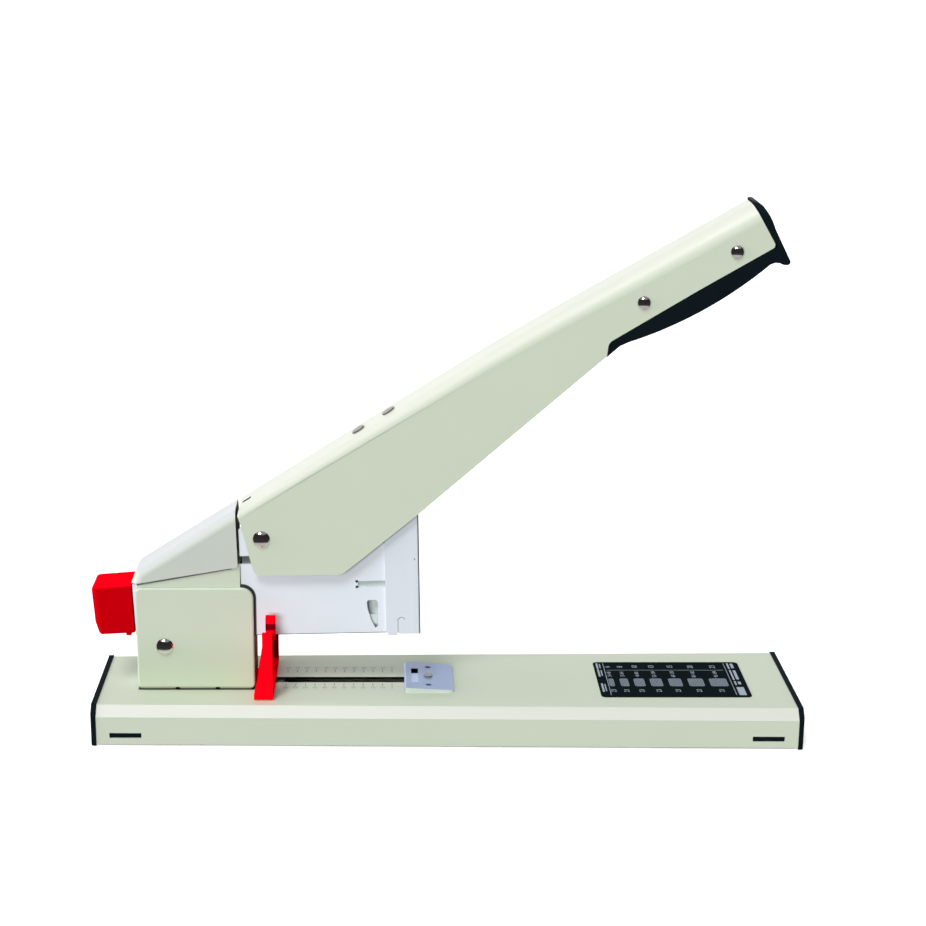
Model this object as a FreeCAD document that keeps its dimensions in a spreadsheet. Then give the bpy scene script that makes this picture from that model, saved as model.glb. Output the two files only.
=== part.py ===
"""Heavy-duty lever stapler, drawn in millimetres as a parametric document.

Frame: +X points from the hinge end towards the open end of the handle, +Y is
across the base, +Z is up.  The origin is the centre of the rectangle that the
base covers on the table, at table height.
"""
import FreeCAD, Part
import math
import os
import Sketcher

SHEET = "Sizes"

# Driving dimensions, all in millimetres or degrees.
DIMENSIONS = {
    # base channel
    "base_half": 180.0, "rear_half": 38.04, "front_half": 42.96, "base_top": 20.6,
    "base_shoulder": 15.7, "base_bevel": 4.9, "base_lift": 1.0, "sheet": 1.2,
    "bevel_step": 0.5, "cap_lip": 2.6, "cap_proud": 0.5, "cap_low": 0.3, "plug_reach": 24.0,
    "plug_gap": 0.35, "plug_wall": 2.2, "plug_top_gap": 0.5, "pad_radius": 6.0, "pad_height": 1.0,
    "pad_rear": -166.0, "pad_front": 166.0, "pad_side": 27.0,
    "window_inner": 154.4, "window_outer": 170.6, "window_low": 4.4, "window_high": 7.1,
    "tongue_gap": 0.3,
    # slot of the paper guide
    "slot_rear": -100.5, "slot_front": -20.6, "slot_half": 3.8,
    # hinge tower
    "tower_width": 27.0, "tower_inside": 24.2, "pivot_x": -144.1, "pivot_z": 44.0, "pivot_radius": 3.0,
    "screw_radius": 2.4, "screw_rear": -148.0, "screw_front": -133.0,
    "spring_x": -121.5, "lift_spring_low": 22.0, "lift_spring_high": 46.2,
    # head
    "frame_width": 23.4, "frame_inside": 21.2, "housing_width": 21.0, "housing_inside": 18.6,
    "guide_width": 23.4, "cover_width": 25.6, "cover_inside": 23.6, "cover_bend": 4.8,
    "cover_wall": 1.0,
    "head_tilt": 1.2, "rail_turn_x": -93.5, "rail_turn_z": 50.0,
    # handle
    "handle_width": 29.0, "handle_inside": 26.6, "handle_pin_x": -93.5, "handle_pin_z": 102.2,
    "handle_pin_radius": 2.5, "running_gap": 0.05, "bend_rear": 3.4, "bend_front": 8.7,
    "grip_bow": 3.9,
    # staple rail
    "channel_width": 16.6, "channel_inside": 14.6, "core_width": 11.2, "core_inside": 9.2,
    "pusher_width": 13.8, "pusher_inside": 11.8, "rod_radius": 1.5, "rod_z": 61.0,
    # paper guide
    "guide_span": 56.0, "guide_inside": 48.0, "lug_span": 40.0, "lug_inside": 31.0,
}

# Side views (X, Z) or plan views (X, Y) of the pieces.
OUTLINES = {
    "tower": [(-158.5, 20.6), (-98.2, 20.6), (-98.2, 75.9), (-158.5, 75.9)],
    "tower_cavity": [(-157.1, 22.0), (-114.0, 22.0), (-114.0, 15.0), (-90.0, 15.0),
                     (-90.0, 80.0), (-165.0, 80.0), (-165.0, 45.0), (-157.1, 45.0)],
    "head_frame": [(-155.4, 79.0), (-157.8, 77.6), (-159.9, 77.2), (-158.5, 47.2), (-152.1, 46.6),
                   (-152.1, 36.0), (-136.1, 36.0), (-136.1, 46.2), (-108.0, 46.2), (-104.9, 49.3),
                   (-104.9, 88.3)],
    "frame_cavity": [(-175.0, 47.6), (-95.0, 47.6), (-95.0, 88.8), (-160.2, 78.2), (-175.0, 75.8)],
    "frame_rear_cavity": [(-175.0, 30.0), (-134.9, 30.0), (-134.9, 48.5), (-175.0, 48.5)],
    "cover": [(-160.6, 77.5), (-105.8, 86.9), (-106.7, 116.9), (-158.0, 84.4)],
    "cover_seam": [(-157.5, 76.75), (-109.0, 85.5), (-109.0, 86.5), (-157.5, 78.2)],
    "cover_cavity": [(-158.8, 74.0), (-104.0, 74.0), (-104.0, 116.6), (-157.2, 82.9)],
    "handle": [(-104.9, 116.84), (-105.4, 114.6), (-103.8, 110.0), (-97.2, 82.8), (-53.0, 83.5),
               (-13.4, 116.4), (78.1, 196.9), (78.7, 203.7), (122.4, 230.2), (158.5, 251.3),
               (147.0, 271.1), (50.0, 215.1), (20.0, 197.0)],
    "handle_cavity": [(-109.0, 112.78), (-109.0, 60.0), (78.1, 60.0), (190.0, 255.0),
                      (180.0, 288.75), (50.0, 213.7), (20.0, 195.58)],
    "housing": [(-157.0, 49.5), (-15.6, 49.5), (-15.6, 98.0), (-45.0, 98.0), (-62.0, 111.6),
                (-98.0, 111.6), (-104.0, 106.6), (-104.0, 76.4), (-157.0, 76.4)],
    "housing_cavity": [(-175.0, 40.0), (-5.0, 40.0), (-5.0, 118.0), (-60.0, 118.0), (-60.0, 110.4),
                       (-97.0, 110.4), (-97.0, 118.0), (-106.0, 118.0), (-106.0, 75.2),
                       (-175.0, 75.2)],
    "front_guide": [(-30.4, 50.1), (-29.7, 50.1), (-29.7, 48.2), (-24.6, 48.2), (-24.6, 49.0),
                    (-12.8, 49.0), (-12.8, 116.0), (-30.4, 116.0)],
    "tear_window": [(-40.0, 66.4), (-39.0, 67.4), (-35.1, 67.4), (-34.3, 66.0), (-34.5, 53.4),
                    (-35.8, 51.9), (-37.8, 56.0), (-39.6, 62.2)],
    "drive_web": [(-52.0, 149.2), (-52.0, 140.0), (-27.5, 111.6), (-21.5, 111.9), (-19.7, 114.5),
                  (-20.4, 119.5), (-31.5, 146.0), (-26.0, 165.9)],
    "drive_flange": [(-53.0, 148.5), (-53.0, 146.8), (-22.0, 166.7), (-22.0, 168.4)],
    "grip_body": [(78.1, 196.4), (84.2, 201.9), (88.5, 203.9), (156.0, 242.4), (158.4, 243.3),
                  (160.0, 243.3), (162.0, 247.0), (158.3, 251.0), (122.4, 230.0), (79.0, 203.4)],
    "grip_tongue": [(81.2, 205.3), (157.9, 250.6), (153.9, 258.6), (84.5, 215.6)],
    "grip_cap": [(147.2, 271.8), (158.9, 251.4), (157.4, 243.5), (160.4, 243.2), (162.3, 242.3),
                 (164.2, 242.3), (165.4, 244.4), (157.5, 259.8), (151.9, 270.0)],
    "cap_section": [(130.0, 262.3), (152.5, 223.3), (202.5, 252.1), (180.0, 291.1)],
    "knob": [(-159.5, 50.9), (-160.4, 76.9), (-181.3, 75.2), (-179.9, 56.3), (-178.0, 49.9),
             (-164.1, 50.6), (-163.9, 49.6), (-161.3, 49.6), (-161.1, 50.8)],
    "guide_leg": [(-97.8, 20.9), (-88.0, 20.9), (-88.0, 56.0), (-93.2, 56.0), (-93.2, 50.0),
                  (-97.2, 23.4)],
    "guide_lug": [(-91.8, 50.5), (-86.9, 50.5), (-86.9, 62.3), (-91.8, 62.3)],
    "anvil": [(-21.0, 20.6), (4.6, 20.6), (4.6, 21.3), (3.9, 22.1), (-20.2, 23.3), (-21.0, 22.6)],
}

# Plain blocks: low and high corner.
BLOCKS = {
    "drawer_plate": ((-159.3, -9.4, 50.4), (-158.5, 9.4, 73.0)),
    "core_front": ((-17.0, -5.6, 50.6), (-15.8, 5.6, 69.5)),
    "driver_front": ((-17.2, -5.5, 109.5), (-15.2, 5.5, 119.0)),
    "driver_blade": ((-15.2, -6.4, 77.0), (-14.3, 6.4, 119.0)),
    "guide_bridge": ((-97.8, -28.0, 20.9), (-88.0, 28.0, 23.4)),
    "guide_tail": ((-109.0, -9.0, 20.9), (-97.8, 9.0, 23.4)),
    "guide_neck": ((-97.0, -3.4, 18.9), (-89.0, 3.4, 20.9)),
    "guide_slider": ((-103.0, -9.5, 16.4), (-84.0, 9.5, 18.9)),
    "handle_slot": ((-103.2, -1.3, 110.0), (-99.7, 1.3, 126.0)),
}

# Rivets of the hand grip (X, Z), and of the drive arm (X along the handle's top).
GRIP_RIVETS = (("95.5", "223.5"), ("139.8", "248.5"))
ARM_RIVETS = (-44.4, -29.3)

doc = FreeCAD.newDocument("LeverStapler")
sheet = doc.addObject("Spreadsheet::Sheet", SHEET)
cells = {}
finished = []


def add_cell(alias, number):
    """Write one number into the sheet and give its cell a name."""
    row = len(cells) + 1
    sheet.set("A%d" % row, alias)
    sheet.set("B%d" % row, "%.4f" % number)
    sheet.setAlias("B%d" % row, alias)
    cells[alias] = float(number)


def fill_sheet():
    for alias, number in DIMENSIONS.items():
        add_cell(alias, number)
    for name, corners in OUTLINES.items():
        for index, (across, height) in enumerate(corners):
            add_cell("%s_u%d" % (name, index), across)
            add_cell("%s_v%d" % (name, index), height)
    for name, (low, high) in BLOCKS.items():
        for letter, start, end in zip("xyz", low, high):
            add_cell("%s_%s_low" % (name, letter), start)
            add_cell("%s_%s_size" % (name, letter), end - start)
    doc.recompute()


def number(text):
    """Value of a sum of cell names, such as '- rear_half + sheet'."""
    total = 0.0
    sign = 1.0
    for word in text.split():
        if word in "+-":
            sign = 1.0 if word == "+" else -1.0
        else:
            total += sign * (cells[word] if word in cells else float(word))
            sign = 1.0
    return total


def formula(text):
    """The same sum as an expression on the sheet."""
    return " ".join("%s.%s" % (SHEET, word) if word in cells else word for word in text.split())


def outline(name):
    """Corners of a stored outline as pairs of cell names."""
    count = len(OUTLINES[name])
    return [("%s_u%d" % (name, index), "%s_v%d" % (name, index)) for index in range(count)]


def rectangle(low_u, high_u, low_v, high_v):
    return [(low_u, low_v), (high_u, low_v), (high_u, high_v), (low_u, high_v)]


def new_body(label):
    body = doc.addObject("PartDesign::Body", label)
    body.Label = label
    return body


def new_sketch(body, role, offset="0"):
    """Empty sketch on one origin plane of the body, lifted along its normal."""
    sketch = body.newObject("Sketcher::SketchObject", body.Name + "_sketch")
    plane = [feature for feature in body.Origin.OriginFeatures if feature.Role == role][0]
    sketch.AttachmentSupport = [(plane, "")]
    sketch.MapMode = "FlatFace"
    sketch.AttachmentOffset = FreeCAD.Placement(FreeCAD.Vector(0, 0, number(offset)), FreeCAD.Rotation())
    if offset != "0":
        sketch.setExpression("AttachmentOffset.Base.z", formula(offset))
    return sketch


def add_polygon(sketch, corners, bows=None):
    """Closed outline whose every corner is held by two driving distances.

    bows gives, for the line that follows a corner, the height of the arc that
    replaces it.  The arc bulges to the right of the way round.
    """
    first = sketch.GeometryCount
    count = len(corners)
    places = [FreeCAD.Vector(number(u), number(v), 0) for u, v in corners]
    for index in range(count):
        start, end = places[index], places[(index + 1) % count]
        bow = (bows or {}).get(index)
        if bow:
            chord = end - start
            aside = FreeCAD.Vector(chord.y, - chord.x, 0) * (bow / chord.Length)
            sketch.addGeometry(Part.Arc(start, (start + end) * 0.5 + aside, end), False)
        else:
            sketch.addGeometry(Part.LineSegment(start, end), False)
    for index in range(count):
        following = first + (index + 1) % count
        sketch.addConstraint(Sketcher.Constraint("Coincident", first + index, 2, following, 1))
    for index, (u, v) in enumerate(corners):
        for kind, text in (("DistanceX", u), ("DistanceY", v)):
            distance = Sketcher.Constraint(kind, -1, 1, first + index, 1, number(text))
            place = sketch.addConstraint(distance)
            sketch.setExpression("Constraints[%d]" % place, formula(text))
    for index, bow in (bows or {}).items():
        start, end = places[index], places[(index + 1) % count]
        half = (end - start).Length / 2
        sketch.addConstraint(
            Sketcher.Constraint("Radius", first + index, (half * half + bow * bow) / (2 * bow)))


def add_circle(sketch, u, v, radius):
    centre = FreeCAD.Vector(number(u), number(v), 0)
    item = sketch.addGeometry(Part.Circle(centre, FreeCAD.Vector(0, 0, 1), number(radius)), False)
    for kind, text in (("DistanceX", u), ("DistanceY", v)):
        place = sketch.addConstraint(Sketcher.Constraint(kind, -1, 1, item, 3, number(text)))
        sketch.setExpression("Constraints[%d]" % place, formula(text))
    place = sketch.addConstraint(Sketcher.Constraint("Radius", item, number(radius)))
    sketch.setExpression("Constraints[%d]" % place, formula(radius))


def pad(body, role, corners, length, offset="0", midplane=True, bows=None):
    """Add material: an outline pushed out by a length, to both sides or upwards."""
    sketch = new_sketch(body, role, offset)
    add_polygon(sketch, corners, bows)
    feature = body.newObject("PartDesign::Pad", body.Name + "_pad")
    feature.Profile = sketch
    feature.Midplane = midplane
    feature.Length = number(length)
    feature.setExpression("Length", formula(length))
    doc.recompute()
    return feature


def pocket(body, role, length, corners=None, circles=(), offset="0"):
    """Take material away, to both sides of the sketch, and prove that some went."""
    before = body.Shape.Volume
    sketch = new_sketch(body, role, offset)
    if corners:
        add_polygon(sketch, corners)
    for u, v, radius in circles:
        add_circle(sketch, u, v, radius)
    feature = body.newObject("PartDesign::Pocket", body.Name + "_pocket")
    feature.Profile = sketch
    feature.Midplane = True
    feature.Length = number(length)
    feature.setExpression("Length", formula(length))
    doc.recompute()
    if body.Shape.Volume > before - 0.01:
        raise ValueError("pocket cut nothing in " + body.Label)
    return feature


def edges_at(shape, axis, spots, tolerance=0.6):
    """Names of the straight edges along one axis that pass through the spots."""
    others = [letter for letter in "xyz" if letter != axis]
    names = []
    for index, edge in enumerate(shape.Edges, 1):
        if edge.Curve.TypeId != "Part::GeomLine":
            continue
        start, end = edge.Vertexes[0].Point, edge.Vertexes[-1].Point
        sideways = max(abs(getattr(end - start, letter)) for letter in others)
        if sideways > 0.01:
            continue
        middle = (start + end) * 0.5
        gaps = [max(abs(getattr(middle, others[0]) - u), abs(getattr(middle, others[1]) - v))
                for u, v in spots]
        if min(gaps) < tolerance:
            names.append("Edge%d" % index)
    return names


def fillet(body, names, radius):
    """Round the named edges of the body's last feature."""
    if not names:
        raise ValueError("no edge to round in " + body.Label)
    last = body.Tip
    feature = body.newObject("PartDesign::Fillet", body.Name + "_fillet")
    feature.Base = (last, names)
    feature.Radius = radius
    doc.recompute()
    return feature


def round_corners(body, axis, spots, radius, tolerance=0.6):
    fillet(body, edges_at(body.Shape, axis, spots, tolerance), radius)


def spot(name, *indices):
    return [OUTLINES[name][index] for index in indices]


def block(name):
    """Plain box from the table of blocks."""
    box = doc.addObject("Part::Box", name)
    box.Label = name
    for letter, side in zip("xyz", ("Length", "Width", "Height")):
        box.setExpression(side, "%s.%s_%s_size" % (SHEET, name, letter))
    corner = FreeCAD.Vector(*[cells["%s_%s_low" % (name, letter)] for letter in "xyz"])
    box.Placement = FreeCAD.Placement(corner, FreeCAD.Rotation())
    return box


def cylinder(label, centre, direction, radius, length):
    """Solid cylinder centred on a point; centre holds three cell sums."""
    rod = doc.addObject("Part::Cylinder", label)
    rod.Label = label
    rod.setExpression("Radius", formula(radius))
    rod.setExpression("Height", formula(length))
    axis = FreeCAD.Vector(*direction)
    middle = FreeCAD.Vector(*[number(text) for text in centre])
    start = middle - axis * (number(length) / 2)
    rod.Placement = FreeCAD.Placement(start, FreeCAD.Rotation(FreeCAD.Vector(0, 0, 1), axis))
    return rod


def cut(label, base, tool):
    result = doc.addObject("Part::Cut", label)
    result.Label = label
    result.Base = base
    result.Tool = tool
    doc.recompute()
    return result


def common(label, base, tool):
    result = doc.addObject("Part::Common", label)
    result.Label = label
    result.Base = base
    result.Tool = tool
    doc.recompute()
    return result


def tube(label, centre, direction, outer, inner, length):
    """Ring of a given length; also the space that a coil spring takes up."""
    outside = cylinder(label + "_outside", centre, direction, outer, length)
    inside = cylinder(label + "_inside", centre, direction, inner, length + " + 2")
    return cut(label, outside, inside)


def fuse(label, shapes):
    result = doc.addObject("Part::MultiFuse", label)
    result.Label = label
    result.Shapes = shapes
    result.Refine = True
    doc.recompute()
    return result


def group(label, shapes):
    """Several separate solids that make one node."""
    result = doc.addObject("Part::Compound", label)
    result.Label = label
    result.Links = shapes
    doc.recompute()
    return result


def finish(piece, label):
    """Name a piece and put it on the list of pieces to write."""
    piece.Label = label
    finished.append((label, piece))


def lean(piece):
    """Turn a piece drawn along a level staple rail to the rail's real nose-up tilt."""
    centre = FreeCAD.Vector(number("rail_turn_x"), 0, number("rail_turn_z"))
    turn = FreeCAD.Rotation(FreeCAD.Vector(0, 1, 0), - cells["head_tilt"])
    piece.Placement = FreeCAD.Placement(FreeCAD.Vector(), turn, centre).multiply(piece.Placement)
    doc.recompute()
    return piece


def dome_rivet(label, place, shaft, reach, head, rise):
    """Turned rivet along Y: a shaft and a domed head at each end."""
    body = new_body(label)
    sketch = new_sketch(body, "XY_Plane")
    top = reach + rise
    dome = (head * head + rise * rise) / (2 * rise)
    middle = FreeCAD.Vector(dome * math.sin(math.asin(head / dome) / 2),
                            top - dome + dome * math.cos(math.asin(head / dome) / 2), 0)
    corners = [(0, top), (head, reach), (shaft, reach), (shaft, -reach), (head, -reach), (0, -top)]
    points = [FreeCAD.Vector(u, v, 0) for u, v in corners]
    sketch.addGeometry(Part.Arc(points[0], middle, points[1]), False)
    for start, end in ((1, 2), (2, 3), (3, 4)):
        sketch.addGeometry(Part.LineSegment(points[start], points[end]), False)
    lower = FreeCAD.Vector(middle.x, -middle.y, 0)
    sketch.addGeometry(Part.Arc(points[4], lower, points[5]), False)
    sketch.addGeometry(Part.LineSegment(points[5], points[0]), False)
    feature = body.newObject("PartDesign::Revolution", label + "_turning")
    feature.Profile = sketch
    feature.ReferenceAxis = (sketch, ["V_Axis"])
    feature.Angle = 360
    body.Placement = FreeCAD.Placement(FreeCAD.Vector(number(place[0]), 0, number(place[1])),
                                       FreeCAD.Rotation())
    doc.recompute()
    return body


def base_section(half):
    """Corners (Y, Z) of the pressed channel, outer line and then inner line."""
    low, shoulder, top = "base_lift", "base_shoulder", "base_top"
    outer = [("- %s" % half, low), ("- %s" % half, shoulder), ("- %s + base_bevel" % half, top),
             ("%s - base_bevel" % half, top), (half, shoulder), (half, low)]
    wall = "%s - sheet" % half
    edge = "%s - base_bevel - bevel_step" % half
    inner = [(wall, low), (wall, "base_shoulder - bevel_step"), (edge, "base_top - sheet"),
             ("- %s + base_bevel + bevel_step" % half, "base_top - sheet"),
             ("- %s + sheet" % half, "base_shoulder - bevel_step"), ("- %s + sheet" % half, low)]
    return outer + inner


def make_base_shell():
    body = new_body("base_shell")
    rear = new_sketch(body, "YZ_Plane", "- base_half + cap_lip")
    add_polygon(rear, base_section("rear_half"))
    front = new_sketch(body, "YZ_Plane", "base_half - cap_lip")
    add_polygon(front, base_section("front_half"))
    loft = body.newObject("PartDesign::AdditiveLoft", "base_loft")
    loft.Profile = rear
    loft.Sections = [front]
    loft.Ruled = True
    doc.recompute()
    slot = rectangle("slot_rear", "slot_front", "- slot_half", "slot_half")
    pocket(body, "XY_Plane", "base_top", slot, offset="base_top")
    for low, high in (("- window_outer", "- window_inner"), ("window_inner", "window_outer")):
        window = rectangle(low, high, "window_low", "window_high")
        pocket(body, "XZ_Plane", "base_half", window)
    holes = [("screw_rear", "0", "screw_radius"), ("screw_front", "0", "screw_radius")]
    pocket(body, "XY_Plane", "base_top", circles=holes, offset="base_top")
    finish(body, "base_shell")


def make_end_cap(label, sign, half):
    """Moulded end: a lip over the channel's end, a hollow plug and two snap tongues."""
    body = new_body(label + "_moulding")
    lip = "- %s - cap_proud" % half
    lip_far = "%s + cap_proud" % half
    section = [(lip, "cap_low"), (lip, "base_shoulder + cap_proud"),
               (lip + " + base_bevel", "base_top + cap_proud"),
               (lip_far + " - base_bevel", "base_top + cap_proud"),
               (lip_far, "base_shoulder + cap_proud"), (lip_far, "cap_low")]
    start = "- base_half" if sign < 0 else "base_half - cap_lip"
    pad(body, "YZ_Plane", section, "cap_lip", start, midplane=False)
    round_corners(body, "z", [(sign * cells["base_half"], cells[half] + cells["cap_proud"]),
                              (sign * cells["base_half"], -cells[half] - cells["cap_proud"])], 1.2, 0.2)
    plug_half = "rear_half - sheet - plug_gap" if sign < 0 else "front_half - sheet - plug_gap - plug_gap"
    flip = "- " + plug_half.replace(" - ", " + ")
    plug = [(flip, "base_lift"), (flip, "base_shoulder - bevel_step - plug_top_gap"),
            (flip + " + base_bevel", "base_top - sheet - plug_top_gap"),
            (plug_half + " - base_bevel", "base_top - sheet - plug_top_gap"),
            (plug_half, "base_shoulder - bevel_step - plug_top_gap"), (plug_half, "base_lift")]
    start = "- base_half + cap_lip" if sign < 0 else "base_half - cap_lip - plug_reach"
    pad(body, "YZ_Plane", plug, "plug_reach", start, midplane=False)
    hollow = rectangle("- base_half + cap_lip", "- base_half + cap_lip + plug_reach + 1",
                       "base_lift + plug_wall", "base_top - sheet - plug_top_gap - plug_wall")
    if sign > 0:
        hollow = rectangle("base_half - cap_lip - plug_reach - 1", "base_half - cap_lip",
                           "base_lift + plug_wall", "base_top - sheet - plug_top_gap - plug_wall")
    width = "%s + %s - base_bevel - base_bevel" % (half, half)
    pocket(body, "XZ_Plane", width, hollow)
    tongues = []
    for side in (-1, 1):
        reach = number(half) - number("tongue_gap") - (0.25 if sign > 0 else - 0.1)
        root = number(plug_half) - 1.0
        tongue = doc.addObject("Part::Box", "%s_tongue" % label)
        tongue.setExpression("Length", formula("window_outer - window_inner - tongue_gap - tongue_gap"))
        tongue.Width = reach - root
        tongue.setExpression("Height", formula("window_high - window_low - tongue_gap"))
        left = "- window_outer + tongue_gap" if sign < 0 else "window_inner + tongue_gap"
        low_y = root if side > 0 else - reach
        tongue.Placement = FreeCAD.Placement(
            FreeCAD.Vector(number(left), low_y, number("window_low") + 0.15), FreeCAD.Rotation())
        tongues.append(tongue)
    finish(fuse(label, [body] + tongues), label)


def make_foot_pads():
    pads = []
    for x in ("pad_rear", "pad_front"):
        for y in ("pad_side", "- pad_side"):
            middle = "%.3f" % (cells["pad_height"] / 2)
            pads.append(cylinder("foot_pad", (x, y, middle), (0, 0, 1), "pad_radius", "pad_height"))
    finish(group("foot_pads", pads), "foot_pads")


def make_tower():
    body = new_body("tower")
    pad(body, "XZ_Plane", outline("tower"), "tower_width")
    round_corners(body, "y", spot("tower", 0, 1, 3), 3.0)
    round_corners(body, "y", spot("tower", 2), 6.0)
    floor_line = cells["base_top"]
    half = cells["tower_width"] / 2
    round_corners(body, "x", [(half, floor_line), (- half, floor_line)], 1.0)
    pocket(body, "XZ_Plane", "tower_inside", outline("tower_cavity"))
    pocket(body, "XZ_Plane", "tower_width + 2", circles=[("pivot_x", "pivot_z", "pivot_radius")])
    for middle in (-138.1, -117.4):
        low, high = "%.2f" % (middle - 1.1), "%.2f" % (middle + 1.1)
        notch = rectangle(low, high, "base_top - 1", "base_top + 1.4")
        for side in ("12.75", "- 12.75"):
            pocket(body, "XZ_Plane", "3.5", notch, offset=side)
    holes = [("screw_rear", "0", "screw_radius"), ("screw_front", "0", "screw_radius")]
    pocket(body, "XY_Plane", "6", circles=holes, offset="base_top")
    finish(body, "tower")


def make_tower_screws():
    screws = []
    for x in ("screw_rear", "screw_front"):
        shank = cylinder("screw_shank", (x, "0", "base_top - 0.6"), (0, 0, 1), "screw_radius", "6.0")
        head = cylinder("screw_head", (x, "0", "base_top + 2.4"), (0, 0, 1), "4.2", "2.0")
        nut = cylinder("screw_nut", (x, "0", "base_top - sheet - 1.5"), (0, 0, 1), "4.0", "3.0")
        screws.append(fuse("tower_screw", [shank, head, nut]))
    finish(group("tower_screws", screws), "tower_screws")


def make_pivot_and_spring():
    finish(dome_rivet("pivot_pin", ("pivot_x", "pivot_z"), 3.0, 13.5, 4.1, 2.2), "pivot_pin")
    middle = (cells["lift_spring_low"] + cells["lift_spring_high"]) / 2
    height = cells["lift_spring_high"] - cells["lift_spring_low"]
    post = cylinder("spring_post", ("spring_x", "0", "lift_spring_low + 4.5"), (0, 0, 1), "3.2", "9.0")
    finish(post, "spring_post")
    spring = tube("lift_spring", ("spring_x", "0", "%.3f" % middle), (0, 0, 1), "5.2", "3.9",
                  "%.3f" % height)
    finish(spring, "lift_spring")


def make_anvil():
    body = new_body("anvil_plate")
    pad(body, "XZ_Plane", outline("anvil"), "36.0")
    round_corners(body, "z", [(-21.0, 18.0), (-21.0, -18.0), (4.6, 18.0), (4.6, -18.0)], 2.2, 0.2)
    die = rectangle("-17.4", "-13.8", "-10.6", "9.6")
    pocket(body, "XY_Plane", "2.0", die, offset="base_top + 3.0")
    ejector = rectangle("-17.4", "-13.8", "3.8", "9.6")
    pocket(body, "XY_Plane", "5.0", ejector, offset="base_top + 3.0")
    holes = [("-8.5", "0", "2.3"), ("-8.5", "12.0", "1.5"), ("-8.5", "-12.0", "1.5")]
    pocket(body, "XY_Plane", "8.0", circles=holes, offset="base_top")
    finish(body, "anvil_plate")
    rivets = []
    for y in ("-12.0", "12.0"):
        rivets.append(cylinder("anvil_rivet", ("-8.5", y, "base_top + 0.9"), (0, 0, 1), "1.5", "1.8"))
    finish(group("anvil_rivets", rivets), "anvil_rivets")
    finish(cylinder("anvil_screw", ("-8.5", "0", "base_top + 1.4"), (0, 0, 1), "2.3", "2.8"), "anvil_screw")


def make_spec_label():
    body = new_body("spec_label")
    label = rectangle("79.8", "157.0", "-24.0", "24.0")
    pad(body, "XY_Plane", label, "0.2", "base_top", midplane=False)
    corners = [(79.8, 24.0), (79.8, -24.0), (157.0, 24.0), (157.0, -24.0)]
    round_corners(body, "z", corners, 2.5, 0.2)
    finish(body, "spec_label")


def make_head_frame():
    body = new_body("head_frame")
    pad(body, "XZ_Plane", outline("head_frame"), "frame_width")
    round_corners(body, "y", spot("head_frame", 5, 6), 7.5)
    pocket(body, "XZ_Plane", "frame_inside", outline("frame_cavity"))
    pocket(body, "XZ_Plane", "frame_inside", outline("frame_rear_cavity"))
    hole = [("pivot_x", "pivot_z", "pivot_radius + running_gap")]
    pocket(body, "XZ_Plane", "tower_width", circles=hole)
    pocket(body, "XZ_Plane", "tower_width", outline("cover_seam"))
    finish(body, "head_frame")
    bushing = tube("pivot_bushing", ("pivot_x", "0", "pivot_z"), (0, 1, 0), "4.1",
                   "pivot_radius + running_gap", "frame_inside")
    finish(bushing, "pivot_bushing")


def make_rear_cover():
    outside = new_body("cover_outside")
    pad(outside, "XZ_Plane", outline("cover"), "cover_width")
    round_corners(outside, "y", spot("cover", 3), 5.0)
    bend_long_edges(outside, "cover_width", cells["cover_bend"])
    inside = new_body("cover_inside_form")
    pad(inside, "XZ_Plane", outline("cover_cavity"), "cover_inside")
    bend_long_edges(inside, "cover_inside", cells["cover_bend"] - cells["cover_wall"])
    finish(cut("rear_cover", outside, inside), "rear_cover")


def upper_edges(shape, half, low_x):
    """Edges of the two side faces that run along the sloping top."""
    names = []
    for index, edge in enumerate(shape.Edges, 1):
        points = [vertex.Point for vertex in edge.Vertexes]
        if len(points) != 2 or min(abs(abs(point.y) - half) for point in points) > 0.01:
            continue
        if abs(points[0].y - points[1].y) > 0.01:
            continue
        rise = abs(points[0].z - points[1].z) / max(abs(points[0].x - points[1].x), 0.001)
        middle = edge.valueAt((edge.FirstParameter + edge.LastParameter) / 2)
        if 0.45 < rise < 0.80 and middle.x > low_x and above_middle(shape, middle):
            names.append((index, min(point.x for point in points), max(point.x for point in points)))
    return names


def above_middle(shape, point):
    """True where no material lies above the point."""
    probe = Part.makeLine(point + FreeCAD.Vector(0, - math.copysign(2, point.y), 4),
                          point + FreeCAD.Vector(0, - math.copysign(2, point.y), 400))
    return probe.common(shape).Length < 0.01


def bend_long_edges(body, width, radius):
    names = ["Edge%d" % index for index, _, _ in upper_edges(body.Shape, number(width) / 2, -1000)]
    fillet(body, names, radius)


def make_housing():
    body = new_body("magazine_housing")
    pad(body, "XZ_Plane", outline("housing"), "housing_width")
    pocket(body, "XZ_Plane", "housing_inside", outline("housing_cavity"))
    pocket(body, "XZ_Plane", "housing_width + 2", outline("tear_window"))
    pocket(body, "XZ_Plane", "housing_width + 2", rectangle("-44.2", "-29.9", "74.3", "77.8"))
    for height in ("74.6", "77.5"):
        pocket(body, "XZ_Plane", "housing_width + 2", circles=[("-44.8", height, "0.8")])
    band = rectangle("-106.0", "-76.0", "88.0", "92.4")
    pocket(body, "XZ_Plane", "housing_width + 2", band)
    pin = rail_place("handle_pin_x", "handle_pin_z")
    pocket(body, "XZ_Plane", "housing_width + 2", circles=[pin + ("handle_pin_radius",)])
    finish(lean(body), "magazine_housing")
    for label, length, outer, inner in (("handle_bushing", "housing_inside", "4.2", "handle_pin_radius"),
                                        ("handle_spring", "11.0", "6.6", "4.5")):
        ring = tube(label, ("handle_pin_x", "0", "handle_pin_z"), (0, 1, 0), outer, inner, length)
        finish(ring, label)
    finish(dome_rivet("handle_pin", ("handle_pin_x", "handle_pin_z"), 2.5, 14.6, 4.0, 2.1), "handle_pin")


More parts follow.
